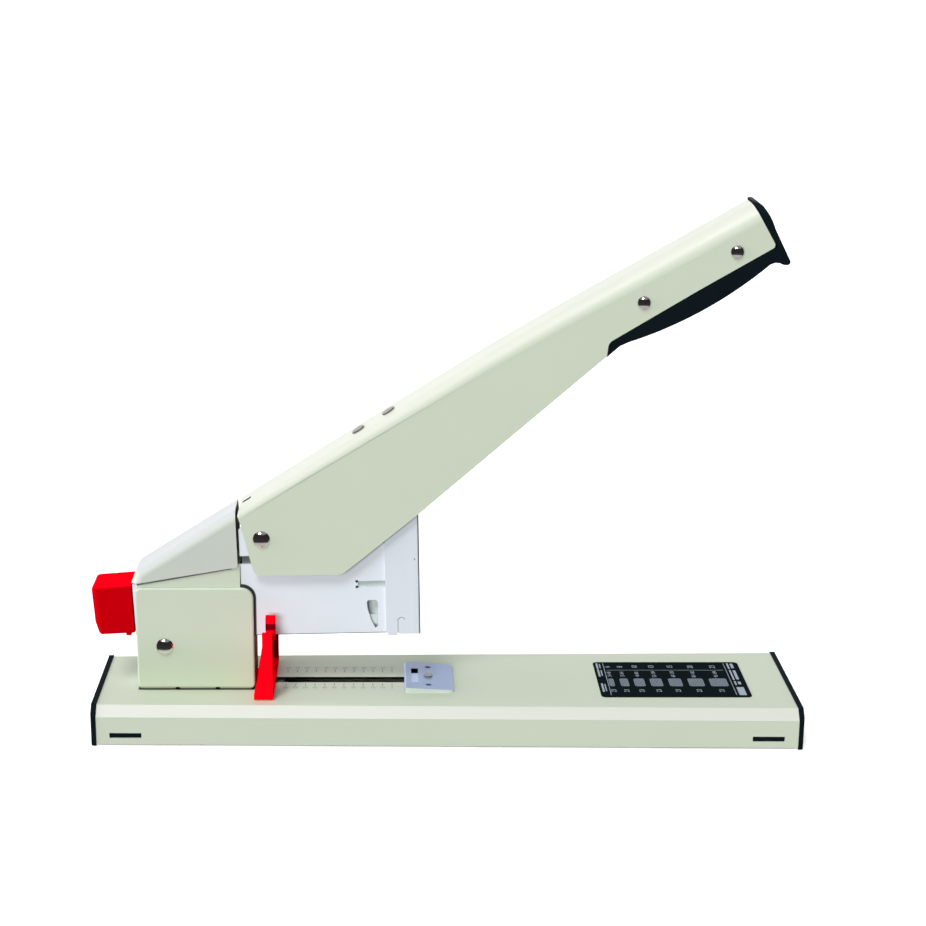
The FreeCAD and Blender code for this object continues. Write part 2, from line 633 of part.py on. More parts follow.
def make_housing_inserts():
    guide = new_body("driver_guide")
    pad(guide, "XZ_Plane", rectangle("-44.2", "-16.0", "72.4", "104.0"), "18.4")
    pocket(guide, "XZ_Plane", "16.0", rectangle("-43.0", "-10.0", "70.0", "110.0"))
    finish(lean(guide), "driver_guide")
    anchor = new_body("spring_anchor")
    pad(anchor, "XZ_Plane", rectangle("-103.0", "-72.0", "84.0", "95.0"), "18.4")
    pocket(anchor, "XZ_Plane", "16.0", rectangle("-110.0", "-60.0", "85.2", "100.0"))
    finish(lean(anchor), "spring_anchor")


def rail_place(x, z):
    """A place on the object, in the level frame that the rail's pieces are drawn in."""
    turn = math.radians(cells["head_tilt"])
    across = number(x) - cells["rail_turn_x"]
    height = number(z) - cells["rail_turn_z"]
    rail_x = cells["rail_turn_x"] + across * math.cos(turn) + height * math.sin(turn)
    rail_z = cells["rail_turn_z"] + height * math.cos(turn) - across * math.sin(turn)
    return "%.4f" % rail_x, "%.4f" % rail_z


def arc_slit(x, z, radius, width, start, end):
    """Corners of a narrow slit along part of a circle, around a place on the object."""
    middle = [float(text) for text in rail_place(x, z)]
    steps = 8
    outer, inner = [], []
    for index in range(steps + 1):
        angle = math.radians(start + (end - start) * index / steps)
        for corners, reach in ((outer, radius + width / 2), (inner, radius - width / 2)):
            corners.append(("%.4f" % (middle[0] + reach * math.cos(angle)),
                            "%.4f" % (middle[1] + reach * math.sin(angle))))
    return outer + inner[::-1]


def make_front_guide():
    body = new_body("front_guide")
    pad(body, "XZ_Plane", outline("front_guide"), "guide_width")
    pad(body, "XZ_Plane", rectangle("-17.4", "-12.8", "49.0", "116.0"), "guide_width + 0.3")
    nose = (cells["guide_width"] + 0.3) / 2
    round_corners(body, "z", [(-12.8, nose), (-12.8, - nose)], 1.1, 0.2)
    cavity = rectangle("-40.0", "-14.0", "40.0", "125.0")
    pocket(body, "XZ_Plane", "housing_width", cavity)
    pocket(body, "XZ_Plane", "guide_width + 2", circles=[("-15.2", "89.4", "0.4")])
    slit = rectangle("-24.4", "-24.1", "48.0", "57.6")
    pocket(body, "XZ_Plane", "guide_width + 2", slit)
    pocket(body, "XZ_Plane", "guide_width + 2", arc_slit("-22.5", "57.7", 1.85, 0.35, 25, 150))
    finish(lean(body), "front_guide")


def make_staple_drawer():
    channel = new_body("staple_channel")
    pad(channel, "XZ_Plane", rectangle("-158.5", "-15.8", "50.4", "69.0"), "channel_width")
    pocket(channel, "XZ_Plane", "channel_inside", rectangle("-160.0", "-10.0", "51.4", "75.0"))
    pocket(channel, "XZ_Plane", "channel_width + 2", rectangle("-43.0", "-32.0", "58.8", "68.0"))
    pocket(channel, "XZ_Plane", "channel_width + 2", rectangle("-38.0", "-32.0", "51.6", "53.8"))
    finish(lean(channel), "staple_channel")
    core = new_body("staple_core_rail")
    pad(core, "XZ_Plane", rectangle("-158.5", "-15.8", "51.4", "69.5"), "core_width")
    pocket(core, "XZ_Plane", "core_inside", rectangle("-160.0", "-17.0", "50.0", "68.3"))
    slot = rectangle("-154.0", "-24.0", "-1.6", "1.6")
    pocket(core, "XY_Plane", "8.0", slot, offset="69.5")
    finish(lean(core), "staple_core")
    rod = cylinder("spring_rod", ("-87.75", "0", "rod_z"), (1, 0, 0), "rod_radius", "141.5")
    finish(lean(rod), "spring_rod")
    plate = block("drawer_plate")
    finish(lean(plate), "drawer_plate")
    knob = new_body("magazine_knob")
    pad(knob, "XZ_Plane", outline("knob"), "23.4")
    round_corners(knob, "y", spot("knob", 2), 1.6)
    round_corners(knob, "y", spot("knob", 4), 1.5)
    finish(knob, "magazine_knob")


def make_pusher():
    body = new_body("staple_pusher")
    pad(body, "XZ_Plane", rectangle("-36.0", "-17.4", "52.4", "71.0"), "pusher_width")
    pocket(body, "XZ_Plane", "pusher_inside", rectangle("-40.0", "-10.0", "50.0", "69.8"))
    pad(body, "XZ_Plane", rectangle("-36.0", "-29.0", "58.0", "70.5"), "2.4")
    pad(body, "XZ_Plane", rectangle("-36.0", "-29.0", "57.4", "64.6"), "7.2")
    hole = new_sketch(body, "YZ_Plane", "-32.5")
    add_circle(hole, "0", "rod_z", "rod_radius + running_gap")
    bore = body.newObject("PartDesign::Pocket", "pusher_bore")
    bore.Profile = hole
    bore.Midplane = True
    bore.Length = 12.0
    doc.recompute()
    finish(lean(body), "staple_pusher")
    spring = tube("pusher_spring", ("-96.85", "0", "rod_z"), (1, 0, 0), "3.3", "1.8", "120.7")
    finish(lean(spring), "pusher_spring")


def make_driver():
    cheeks = []
    for y in ("4.2", "- 4.2"):
        cheek = new_body("driver_cheek")
        pad(cheek, "XZ_Plane", rectangle("-27.0", "-17.2", "109.5", "119.0"), "2.6",
            "- " + y if y[0] != "-" else y[2:])
        cheeks.append(cheek)
    carrier = fuse("driver_carrier_blank", cheeks + [block("driver_front")])
    pin_x, pin_z = rail_place("-24.0", "115.8")
    bore = cylinder("driver_bore", (pin_x, "0", pin_z), (0, 1, 0), "1.5", "20")
    finish(lean(cut("driver_carrier", carrier, bore)), "driver_carrier")
    finish(lean(block("driver_blade")), "driver_blade")
    pin = cylinder("driver_pin", (pin_x, "0", pin_z), (0, 1, 0), "1.5", "12.4")
    finish(lean(pin), "driver_pin")


def handle_blank(name, width, bends):
    """Solid bent bar: the side outline, pushed to a width, with its long top edges bent."""
    body = new_body(name + "_blank")
    pad(body, "XZ_Plane", outline(name), width)
    if name == "handle":
        round_corners(body, "y", spot(name, 3), 5.0)
        round_corners(body, "y", spot(name, 4), 7.0)
        round_corners(body, "y", spot(name, 7), 4.5)
        round_corners(body, "y", spot(name, 9), 2.0)
    half = number(width) / 2
    edges = []
    for index, start, end in upper_edges(body.Shape, half, -1000):
        radii = [bend_radius(x, bends) for x in (start, end)]
        curve = body.Shape.Edges[index - 1]
        first = curve.Vertexes[0].Point.x
        if abs(first - start) > 0.01:
            radii.reverse()
        edges.append((index, radii[0], radii[1]))
    bent = doc.addObject("Part::Fillet", name + "_bent")
    bent.Base = body
    bent.Edges = edges
    doc.recompute()
    if len(edges) != 6 or bent.Shape.isNull():
        raise ValueError("bending %s used %d edges" % (name, len(edges)))
    return bent


def bend_radius(x, bends):
    """Radius of the long bends, growing from the hinge end to the grip."""
    rear, front = bends
    share = (x - OUTLINES["handle"][0][0]) / (OUTLINES["handle"][10][0] - OUTLINES["handle"][0][0])
    return rear + (front - rear) * share


def make_handle_shell():
    sheet_bends = (cells["bend_rear"] - cells["sheet"], cells["bend_front"] - cells["sheet"])
    outside = handle_blank("handle", "handle_width", (cells["bend_rear"], cells["bend_front"]))
    inside = handle_blank("handle_cavity", "handle_inside", sheet_bends)
    shell = cut("handle_channel", outside, inside)
    bores = [cylinder("pin_bore", ("handle_pin_x", "0", "handle_pin_z"), (0, 1, 0),
                      "handle_pin_radius + running_gap", "40")]
    for x, z in GRIP_RIVETS:
        bores.append(cylinder("rivet_bore", (x, "0", z), (0, 1, 0), "2.0", "40"))
    bores.append(block("handle_slot"))
    finish(cut("handle_shell", shell, fuse("handle_bores", bores)), "handle_shell")


def make_handle_grip():
    handhold = new_body("grip_handhold")
    pad(handhold, "XZ_Plane", outline("grip_body"), "28.4", bows={2: cells["grip_bow"]})
    tongue = new_body("grip_tongue_form")
    pad(tongue, "XZ_Plane", outline("grip_tongue"), "26.4")
    cap = new_body("grip_cap_form")
    pad(cap, "XZ_Plane", outline("grip_cap"), "30.0", bows={5: 0.6, 7: 0.5, 8: 0.9})
    section = new_body("cap_section_form")
    pad(section, "XZ_Plane", outline("cap_section"), "30.0")
    bend_long_edges(section, "30.0", 9.0)
    rounded_cap = common("grip_cap_rounded", cap, section)
    blank = fuse("grip_blank", [handhold, tongue, rounded_cap])
    bores = [cylinder("grip_bore", (x, "0", z), (0, 1, 0), "2.0", "40") for x, z in GRIP_RIVETS]
    finish(cut("handle_grip", blank, fuse("grip_bores", bores)), "handle_grip")
    rivets = [dome_rivet("grip_rivet", place, 2.0, 14.5, 3.55, 1.9) for place in GRIP_RIVETS]
    finish(group("grip_rivets", rivets), "grip_rivets")


def make_drive_arm():
    body = new_body("drive_arm")
    pad(body, "XZ_Plane", outline("drive_web"), "5.0")
    pad(body, "XZ_Plane", outline("drive_flange"), "18.0")
    turn = math.atan2(13.6, 69.5)
    reach = [(67.6, -1.8), (73.5, -1.8), (73.5, 1.8), (67.6, 1.8)]
    corners = []
    for along, aside in reach:
        x = cells["handle_pin_x"] + along * math.cos(turn) - aside * math.sin(turn)
        z = cells["handle_pin_z"] + along * math.sin(turn) + aside * math.cos(turn)
        corners.append(("%.4f" % x, "%.4f" % z))
    pocket(body, "XZ_Plane", "20", corners)
    finish(body, "drive_arm")
    start, end = OUTLINES["handle"][0], OUTLINES["handle"][-1]
    slope = math.atan2(end[1] - start[1], end[0] - start[0])
    normal = (- math.sin(slope), 0, math.cos(slope))
    rise = 0.8
    rivets = []
    for x in ARM_RIVETS:
        height = start[1] + (x - start[0]) * math.tan(slope)
        centre = ("%.3f" % (x + normal[0] * rise / 2), "0", "%.3f" % (height + normal[2] * rise / 2))
        rivets.append(cylinder("arm_rivet", centre, normal, "3.4", "%.2f" % rise))
    finish(group("arm_rivets", rivets), "arm_rivets")


def make_paper_guide():
    legs = new_body("guide_legs")
    pad(legs, "XZ_Plane", outline("guide_leg"), "guide_span")
    pocket(legs, "XZ_Plane", "guide_inside", rectangle("-100.0", "-80.0", "10.0", "70.0"))
    lugs = new_body("guide_lugs")
    pad(lugs, "XZ_Plane", outline("guide_lug"), "lug_span")
    pocket(lugs, "XZ_Plane", "lug_inside", rectangle("-100.0", "-80.0", "10.0", "70.0"))
    shelf = new_body("guide_shelves")
    pad(shelf, "XZ_Plane", rectangle("-91.8", "-88.0", "50.5", "54.0"), "guide_span - 2")
    pocket(shelf, "XZ_Plane", "lug_inside", rectangle("-100.0", "-80.0", "10.0", "70.0"))
    shapes = [block("guide_bridge"), block("guide_tail"), block("guide_neck"), legs, lugs, shelf]
    finish(fuse("paper_guide", shapes), "paper_guide")
    finish(block("guide_slider"), "guide_slider")


def check_document():
    """Stop before writing anything if a feature failed or a piece is not a sound solid."""
    doc.recompute()
    for item in doc.Objects:
        if "Invalid" in item.State or "Error" in item.State:
            raise ValueError("feature failed: %s %s" % (item.Label, item.State))
    for label, piece in finished:
        if piece.Shape.isNull() or not piece.Shape.isValid() or not piece.Shape.Solids:
            raise ValueError("piece is not a valid solid: " + label)


def write_pieces():
    os.makedirs("parts", exist_ok=True)
    for label, piece in finished:
        piece.Shape.exportStep("parts/%s.step" % label)
        box = piece.Shape.BoundBox
        print("%-18s %d solids  X %.1f %.1f  Y %.1f %.1f  Z %.1f %.1f" % (
            label, len(piece.Shape.Solids), box.XMin, box.XMax, box.YMin, box.YMax, box.ZMin, box.ZMax))


fill_sheet()
make_base_shell()
make_end_cap("end_cap_rear", -1, "rear_half")
make_end_cap("end_cap_front", 1, "front_half")
make_foot_pads()
make_tower()
make_tower_screws()
make_pivot_and_spring()
make_anvil()
make_spec_label()
make_head_frame()
make_rear_cover()
make_housing()
make_housing_inserts()
make_front_guide()
make_staple_drawer()
make_pusher()
make_driver()
make_handle_shell()
make_handle_grip()
make_drive_arm()
make_paper_guide()
check_document()
write_pieces()
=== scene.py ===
import math

import bmesh
import bpy
from mathutils import Matrix, Vector


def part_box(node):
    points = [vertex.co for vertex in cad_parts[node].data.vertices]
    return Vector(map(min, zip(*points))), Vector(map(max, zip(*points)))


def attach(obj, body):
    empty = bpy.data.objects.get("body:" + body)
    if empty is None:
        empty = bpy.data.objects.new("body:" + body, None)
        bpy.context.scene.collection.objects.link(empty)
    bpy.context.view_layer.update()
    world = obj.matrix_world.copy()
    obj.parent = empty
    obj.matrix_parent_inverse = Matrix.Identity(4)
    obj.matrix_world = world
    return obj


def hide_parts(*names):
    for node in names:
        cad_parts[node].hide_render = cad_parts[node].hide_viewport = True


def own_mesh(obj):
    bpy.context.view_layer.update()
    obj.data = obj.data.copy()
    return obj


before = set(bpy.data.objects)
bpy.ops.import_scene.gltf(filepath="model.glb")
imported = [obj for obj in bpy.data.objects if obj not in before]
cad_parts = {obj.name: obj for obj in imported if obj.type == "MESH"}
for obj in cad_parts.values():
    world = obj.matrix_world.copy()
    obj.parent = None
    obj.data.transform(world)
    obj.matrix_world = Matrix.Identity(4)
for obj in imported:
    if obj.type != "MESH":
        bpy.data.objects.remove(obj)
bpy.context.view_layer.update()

# All lengths are in metres, unless a comment says millimetres.
BASE_TOP = 0.0206
LABEL_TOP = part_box("spec_label")[1].z
PRINT_LIFT = 0.00004  # how far printed ink stands over its surface
# The staple rail is drawn level and then turned about this place.
RAIL_TILT = math.radians(1.2)
RAIL_TURN = Vector((-0.0935, 0.0, 0.050))
AXIS_X, AXIS_Y, AXIS_Z = (1, 0, 0), (0, 1, 0), (0, 0, 1)
TOWARDS_NEAR = (0, -1, 0)
NOISE_HALF_WIDTH = 0.35  # noise values used, on either side of 0.5


# ---------------------------------------------------------------- materials

def linear(red, green, blue):
    """Screen colour, 0 to 255, as the linear colour that the shaders take."""
    values = []
    for value in (red, green, blue):
        share = value / 255
        values.append(share / 12.92 if share <= 0.04045 else ((share + 0.055) / 1.055) ** 2.4)
    return (*values, 1.0)


def link(tree, source, target):
    """Join two sockets."""
    tree.links.new(source, target)


def node(tree, kind, **settings):
    """New node with its settings."""
    made = tree.nodes.new(kind)
    for name, value in settings.items():
        setattr(made, name, value)
    return made


def noise(tree, coordinates, scale, detail, stretch=None):
    """Noise over the object's own coordinates, stretched along the axes where asked."""
    if stretch:
        mapping = node(tree, "ShaderNodeMapping")
        mapping.inputs["Scale"].default_value = stretch
        link(tree, coordinates, mapping.inputs["Vector"])
        coordinates = mapping.outputs["Vector"]
    texture = node(tree, "ShaderNodeTexNoise")
    texture.inputs["Scale"].default_value = scale
    texture.inputs["Detail"].default_value = detail
    link(tree, coordinates, texture.inputs["Vector"])
    return texture.outputs["Fac"]


def spread(tree, value, low, high):
    """Noise remapped to a range."""
    remap = node(tree, "ShaderNodeMapRange")
    remap.inputs["From Min"].default_value = 0.5 - NOISE_HALF_WIDTH
    remap.inputs["From Max"].default_value = 0.5 + NOISE_HALF_WIDTH
    remap.inputs["To Min"].default_value = low
    remap.inputs["To Max"].default_value = high
    link(tree, value, remap.inputs["Value"])
    return remap.outputs["Result"]


def bump(tree, height, distance, below=None):
    """Normal of a relief of this depth, laid over another relief where one is given."""
    made = node(tree, "ShaderNodeBump")
    made.inputs["Strength"].default_value = 1.0
    made.inputs["Distance"].default_value = distance
    link(tree, height, made.inputs["Height"])
    if below:
        link(tree, below, made.inputs["Normal"])
    return made.outputs["Normal"]


def surface(name, colour, rough, metal=0.0, shift=0.04, patch=60.0, grain=900.0, relief=2e-5,
            rough_shift=0.06, streaks=None, streak_relief=0.0, specular=0.5):
    """Material with patchy colour, uneven gloss, fine relief and, where asked, rubbed streaks.

    colour is a screen colour; shift is how far it varies to either side; patch, grain and streaks
    are noise scales per metre; relief and streak_relief are depths.
    """
    material = bpy.data.materials.new(name)
    material.use_nodes = True
    tree = material.node_tree
    shader = tree.nodes["Principled BSDF"]
    shader.inputs["Metallic"].default_value = metal
    shader.inputs["Specular IOR Level"].default_value = specular
    place = node(tree, "ShaderNodeTexCoord").outputs["Object"]
    broad = noise(tree, place, patch, 3.0)
    fine = noise(tree, place, grain, 2.0)
    mix = node(tree, "ShaderNodeMix", data_type="RGBA")
    middle = linear(*colour)[:3]
    mix.inputs["A"].default_value = (*[value * (1 - shift) for value in middle], 1.0)
    mix.inputs["B"].default_value = (*[min(value * (1 + shift), 1.0) for value in middle], 1.0)
    link(tree, spread(tree, broad, 0.0, 1.0), mix.inputs["Factor"])
    link(tree, mix.outputs["Result"], shader.inputs["Base Color"])
    gloss = broad
    height = bump(tree, fine, relief)
    if streaks:
        rubbed = noise(tree, place, 1.0, 4.0, streaks)
        gloss = rubbed
        if streak_relief:
            height = bump(tree, rubbed, streak_relief, below=height)
    roughness = spread(tree, gloss, rough - rough_shift, rough + rough_shift)
    link(tree, roughness, shader.inputs["Roughness"])
    link(tree, height, shader.inputs["Normal"])
    return material


PAINT, BASE_PAINT, TOWER_PAINT, FRAME_PAINT = [
    surface(name, (199, 209, 190), 0.42, shift=0.012, patch=30, grain=700, relief=1.0e-5,
            rough_shift=0.02)
    for name in ("sage_paint", "base_paint", "tower_paint", "frame_paint")]
COVER = surface("cover_moulding", (194, 201, 192), 0.40, shift=0.02, patch=45, grain=1400,
                relief=1.5e-5)
HOUSING_PLATING, GUIDE_PLATING = [
    surface(name, colour, 0.42, metal=0.1, shift=0.02, patch=50, grain=1500, relief=6e-6,
            rough_shift=0.05, streaks=(40, 200, 2200), streak_relief=8e-6)
    for name, colour in (("housing_plating", (231, 237, 245)),
                         ("guide_plating", (223, 230, 238)))]
# Copies of the plating, toned for how the inner parts and the nose slot look in shade: a painted
# light level.
SHADED_PLATING = surface("shaded_inner_plating", (214, 224, 224), 0.5, metal=0.1, shift=0.04, patch=80,
                         grain=1500, relief=6e-6)
SHADED_STRIP_PLATING = surface("shaded_strip_plating", (192, 205, 203), 0.5, metal=0.1, shift=0.04, patch=80,
                        grain=1500, relief=6e-6)
ANVIL = surface("blued_plating", (152, 171, 208), 0.34, metal=0.4, shift=0.05, patch=120,
                grain=1500, relief=6e-6, streaks=(1500, 60, 60), streak_relief=6e-6)
ZINC = surface("zinc_plating", (150, 156, 158), 0.42, metal=0.7, shift=0.08, patch=200, grain=1800,
               relief=8e-6)
HARD = surface("ground_steel", (140, 143, 148), 0.32, metal=0.9, shift=0.05, streaks=(60, 60, 1800),
               streak_relief=6e-6)
SPRING = surface("spring_wire", (96, 98, 104), 0.32, metal=0.9, shift=0.08, patch=300)
POLISHED = surface("polished_pin", (236, 230, 228), 0.07, metal=1.0, shift=0.02, patch=150,
                   grain=900, relief=2e-6, rough_shift=0.02)
RED = surface("red_moulding", (192, 0, 12), 0.40, shift=0.03, patch=80, grain=1100, relief=1.5e-5,
              specular=0.0)
BRIGHT_RED = surface("bright_red_moulding", (252, 3, 24), 0.45, shift=0.03, patch=80, grain=1100,
                     relief=1.5e-5, specular=0.0)
BLACK = surface("black_moulding", (16, 24, 29), 0.36, shift=0.12, patch=90, grain=1500,
                relief=2.5e-5, specular=0.004)
DARK_STEEL = surface("dark_steel", (62, 74, 96), 0.40, metal=0.5, shift=0.08, patch=200, grain=1500,
                     relief=6e-6)
RUBBER = surface("foot_rubber", (30, 30, 31), 0.75, shift=0.15, patch=200, grain=2500, relief=6e-5)
SHADE = surface("floor_shade", (4, 4, 4), 0.9, shift=0.15, patch=200, grain=2500, relief=1e-6,
                specular=0.0)
LABEL = surface("label_film", (18, 27, 30), 0.50, shift=0.10, patch=150, grain=1800, relief=5e-6,
                specular=0.0)
PRINT, BLOCK_INK = [
    surface(name, colour, 0.50, shift=0.10, patch=500, grain=2500, relief=5e-6, specular=0.1)
    for name, colour in (("label_ink", (158, 170, 182)), ("block_ink", (118, 132, 146)))]
SCALE_INK = surface("scale_ink", (118, 128, 116), 0.55, shift=0.15, patch=600, grain=2500,
                    relief=5e-6)
SCREW_STEEL, RIVET_STEEL = [
    surface(name, colour, rough, metal=0.7, shift=0.06, patch=300, grain=1500, relief=6e-6)
    for name, colour, rough in (("screw_steel", (136, 141, 137), 0.25),
                                ("rivet_steel", (112, 109, 104), 0.32))]

NODE_LOOKS = {
    "base_shell": BASE_PAINT, "end_cap_rear": BLACK, "end_cap_front": BLACK, "tower": TOWER_PAINT,
    "head_frame": FRAME_PAINT, "handle_shell": PAINT, "rear_cover": COVER, "foot_pads": RUBBER,
    "tower_screws": ZINC, "pivot_pin": POLISHED, "spring_post": ZINC, "lift_spring": SPRING,
    "anvil_plate": ANVIL, "anvil_rivets": DARK_STEEL, "anvil_screw": SCREW_STEEL,
    "spec_label": LABEL,
    "pivot_bushing": ZINC, "magazine_housing": HOUSING_PLATING, "driver_guide": SHADED_STRIP_PLATING,
    "spring_anchor": ZINC, "front_guide": GUIDE_PLATING, "handle_bushing": ZINC,
    "handle_spring": SPRING, "handle_pin": POLISHED, "staple_channel": SHADED_PLATING,
    "staple_core": SHADED_PLATING, "spring_rod": HARD, "drawer_plate": SHADED_PLATING,
    "magazine_knob": RED, "pusher_spring": SPRING, "staple_pusher": SHADED_PLATING,
    "driver_carrier": HARD, "driver_blade": HARD,
    "driver_pin": HARD, "handle_grip": BLACK, "grip_rivets": POLISHED, "drive_arm": ZINC,
    "arm_rivets": RIVET_STEEL, "paper_guide": BRIGHT_RED, "guide_slider": ZINC,
}
# Rounding, in millimetres, that presswork and mouldings have along their edges.
EDGE_ROUNDING = {
    "base_shell": 0.35, "end_cap_rear": 0.5, "end_cap_front": 0.5, "tower": 0.35, "head_frame": 0.3,
    "handle_shell": 0.35, "rear_cover": 0.3, "foot_pads": 0.3, "anvil_plate": 0.3,
    "magazine_housing": 0.25, "front_guide": 0.25, "paper_guide": 0.5,
    "drive_arm": 0.4, "staple_channel": 0.2, "staple_core": 0.2, "staple_pusher": 0.2,
    "drawer_plate": 0.2, "tower_screws": 0.4, "arm_rivets": 0.6,
}


# Angle between two faces, in degrees, under which they count as one, and over which the edge
# between them is rounded.
FLAT_EDGE = 0.6
SHARP_EDGE = 32


def round_edges(piece, width, segments=2):
    """Small rounded edges, width in millimetres, so that they catch the light as real ones do."""
    merge = piece.modifiers.new("flat_faces", "DECIMATE")
    merge.decimate_type = "DISSOLVE"
    merge.angle_limit = math.radians(FLAT_EDGE)
    rounding = piece.modifiers.new("edges", "BEVEL")
    rounding.width = width / 1000
    rounding.segments = segments
    rounding.limit_method = "ANGLE"
    rounding.angle_limit = math.radians(SHARP_EDGE)
    rounding.harden_normals = True


for name, look in NODE_LOOKS.items():
    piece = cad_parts[name]
    piece.data.materials.clear()
    piece.data.materials.append(look)


# ------------------------------------------------------------- mesh helpers

def new_piece(name, body, look, mesh, stands_for=()):
    """Object of a mesh, on its body, with its material."""
    piece = bpy.data.objects.new(name, mesh)
    bpy.context.scene.collection.objects.link(piece)
    piece.data.materials.clear()
    piece.data.materials.append(look)
    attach(piece, body)
    if stands_for:
        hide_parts(*stands_for)
    return piece


def on_rail(point):
    """A point given in the level drawing of the staple rail, turned to the rail's tilt."""
    turn = Matrix.Rotation(-RAIL_TILT, 3, "Y")
    return RAIL_TURN + turn @ (Vector(point) - RAIL_TURN)


def tube_mesh(name, points, radius, sides=10):
    """Round wire along points, with closed ends."""
    curve = bpy.data.curves.new(name, "CURVE")
    curve.dimensions = "3D"
    curve.bevel_depth = radius
    curve.bevel_resolution = max(sides // 2 - 2, 1)
    curve.use_fill_caps = True
    line = curve.splines.new("POLY")
    line.points.add(len(points) - 1)
    for place, point in zip(line.points, points):
        place.co = (*point, 1.0)
    holder = bpy.data.objects.new(name, curve)
    mesh = bpy.data.meshes.new_from_object(holder)
    bpy.data.objects.remove(holder)
    mesh.shade_smooth()
    return mesh


def coil(start, end, radius, turns, closed=1.5, steps=20):
    """Points of a compression spring from start to end, with closed end coils."""
    start, end = Vector(start), Vector(end)
    along = (end - start).normalized()
    aside = along.orthogonal().normalized()
    across = along.cross(aside)
    length = (end - start).length
    total = int(turns * steps)
    points = []
    for index in range(total + 1):
        turn = index / steps
        tight = 0.22
        if turn < closed:
            share = turn * tight
        elif turn > turns - closed:
            share = turns - 2 * closed + 2 * closed * tight - (turns - turn) * tight
        else:
            share = closed * tight + (turn - closed)
        share /= turns - 2 * closed + 2 * closed * tight
        angle = 2 * math.pi * turn
        points.append(start + along * (length * share)
                      + (aside * math.cos(angle) + across * math.sin(angle)) * radius)
    return points


# ------------------------------------------------------ local colour changes

def tint(material, colour, *tests, centre=None, reach=None):
    """Another colour where all the tests hold.

    A test is (output, axis, none, full): the place or the normal, measured along the axis, with
    the value where the colour starts and the value where it is complete. centre and reach add a
    test of the distance from a line across the object.
    """
    tree = material.node_tree
    shader = tree.nodes["Principled BSDF"]
    before = shader.inputs["Base Color"].links[0].from_socket
    coordinates = node(tree, "ShaderNodeTexCoord")
    measures = []
    for output, axis, none, full in tests:
        along = node(tree, "ShaderNodeVectorMath", operation="DOT_PRODUCT")
        along.inputs[1].default_value = axis
        link(tree, coordinates.outputs[output], along.inputs[0])
        measures.append((along.outputs["Value"], none, full))
    if centre:
        flat = node(tree, "ShaderNodeVectorMath", operation="MULTIPLY")
        flat.inputs[1].default_value = (1, 0, 1)
        link(tree, coordinates.outputs["Object"], flat.inputs[0])
        away = node(tree, "ShaderNodeVectorMath", operation="DISTANCE")
        away.inputs[1].default_value = centre
        link(tree, flat.outputs["Vector"], away.inputs[0])
        measures.append((away.outputs["Value"], *reach))
    factor = None
    for value, none, full in measures:
        share = node(tree, "ShaderNodeMapRange")
        share.inputs["From Min"].default_value = none
        share.inputs["From Max"].default_value = full
        link(tree, value, share.inputs["Value"])
        product = node(tree, "ShaderNodeMath", operation="MULTIPLY")
        link(tree, share.outputs["Result"], product.inputs[0])
        if factor:
            link(tree, factor, product.inputs[1])
        else:
            product.inputs[1].default_value = 1.0
        factor = product.outputs["Value"]
    mix = node(tree, "ShaderNodeMix", data_type="RGBA")
    mix.inputs["B"].default_value = linear(*colour)
    link(tree, factor, mix.inputs["Factor"])
    link(tree, before, mix.inputs["A"])
    link(tree, mix.outputs["Result"], shader.inputs["Base Color"])


